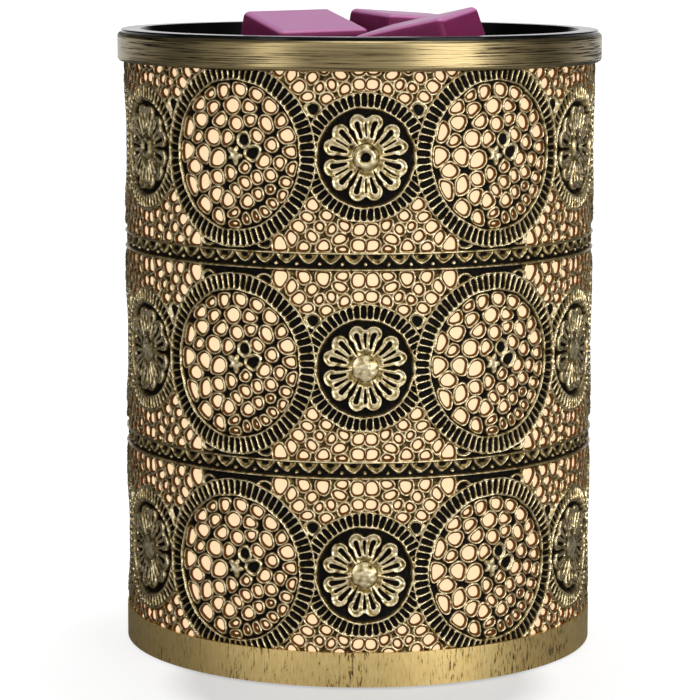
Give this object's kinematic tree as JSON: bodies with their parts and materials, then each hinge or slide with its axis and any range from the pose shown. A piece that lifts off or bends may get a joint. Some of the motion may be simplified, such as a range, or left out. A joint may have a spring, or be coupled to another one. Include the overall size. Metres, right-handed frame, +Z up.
{
  "type": "wax melt warmer lamp",
  "caption": "Round pierced antique-brass wax warmer lamp with a lit bulb inside, a black lift-off dish and purple wax melts.",
  "frame": {"origin": "on the table surface under the middle of the lamp", "axes": "+Z up along the lamp's axis, -Y to the front, +Y to the cord inlet"},
  "size_m": [0.11, 0.11, 0.1456],
  "materials": {
    "antique_brass": "antiqued pierced sheet, bright ridges over dark recesses",
    "brushed_brass": "antiqued, brushed, satin",
    "frosted_liner": "frosted cream diffuser, lit from inside",
    "black_dish": "glossy black",
    "purple_wax": "scented wax, satin, slightly translucent",
    "black_paint": "satin black",
    "zinc_steel": "zinc plated",
    "black_rubber": "matte",
    "phenolic": "moulded black",
    "screw_brass": "plain, bright",
    "nickel_cap": "plain, bright",
    "black_glass": "glossy vitrite",
    "clear_glass": "clear",
    "filament": "glowing wire",
    "cream_plastic": "moulded",
    "lead_black": "insulated wire",
    "lead_white": "insulated wire"
  },
  "bodies": {
    "root": {"pierced_shell": "antique_brass", "diffuser_liner": "frosted_liner", "rim_ring": "brushed_brass", "base_band": "brushed_brass", "base_plate": "black_paint", "feet": "black_rubber", "base_screws": "zinc_steel", "base_nuts": "zinc_steel", "cord_bushing": "black_rubber", "socket_bracket": "zinc_steel", "bracket_screws": "zinc_steel", "socket_nipple": "screw_brass", "socket_lock_nut": "zinc_steel", "socket_housing": "phenolic", "socket_shell": "screw_brass", "socket_contact": "screw_brass", "terminal_block": "cream_plastic", "terminal_screws": "zinc_steel", "lead_live": "lead_black", "lead_neutral": "lead_white"},
    "bulb_lift": {"bulb_insulator": "black_glass", "bulb_tip": "zinc_steel"},
    "bulb": {"bulb_cap": "nickel_cap", "bulb_glass": "clear_glass", "bulb_stem": "clear_glass", "bulb_filament": "filament"},
    "wax_dish": {"wax_dish": "black_dish"},
    "wax_melt_left": {"wax_melt_left": "purple_wax"},
    "wax_melt_right": {"wax_melt_right": "purple_wax"},
    "wax_melt_back": {"wax_melt_back": "purple_wax"}
  },
  "joints": [
    {"name": "bulb_rise", "type": "slide", "parent": "root", "child": "bulb_lift", "axis": [0, 0, 1], "range_m": [0, 0.01056]},
    {"name": "bulb_unscrew", "type": "hinge", "parent": "bulb_lift", "child": "bulb", "pos_m": [0, 0, 0.04], "axis": [0, 0, 1], "range_deg": [0, 1440]},
    {"name": "dish_lift", "type": "slide", "parent": "root", "child": "wax_dish", "axis": [0, 0, 1], "range_m": [0, 0.04]},
    {"name": "wax_lift_left", "type": "slide", "parent": "wax_dish", "child": "wax_melt_left", "axis": [0, 0, 1], "range_m": [0, 0.03]},
    {"name": "wax_lift_right", "type": "slide", "parent": "wax_dish", "child": "wax_melt_right", "axis": [0, 0, 1], "range_m": [0, 0.03]},
    {"name": "wax_lift_back", "type": "slide", "parent": "wax_dish", "child": "wax_melt_back", "axis": [0, 0, 1], "range_m": [0, 0.03]}
  ],
  "couplings": [
    {"joint": "bulb_rise", "follows": "bulb_unscrew", "m_per_rad": 0.00040425}
  ]
}
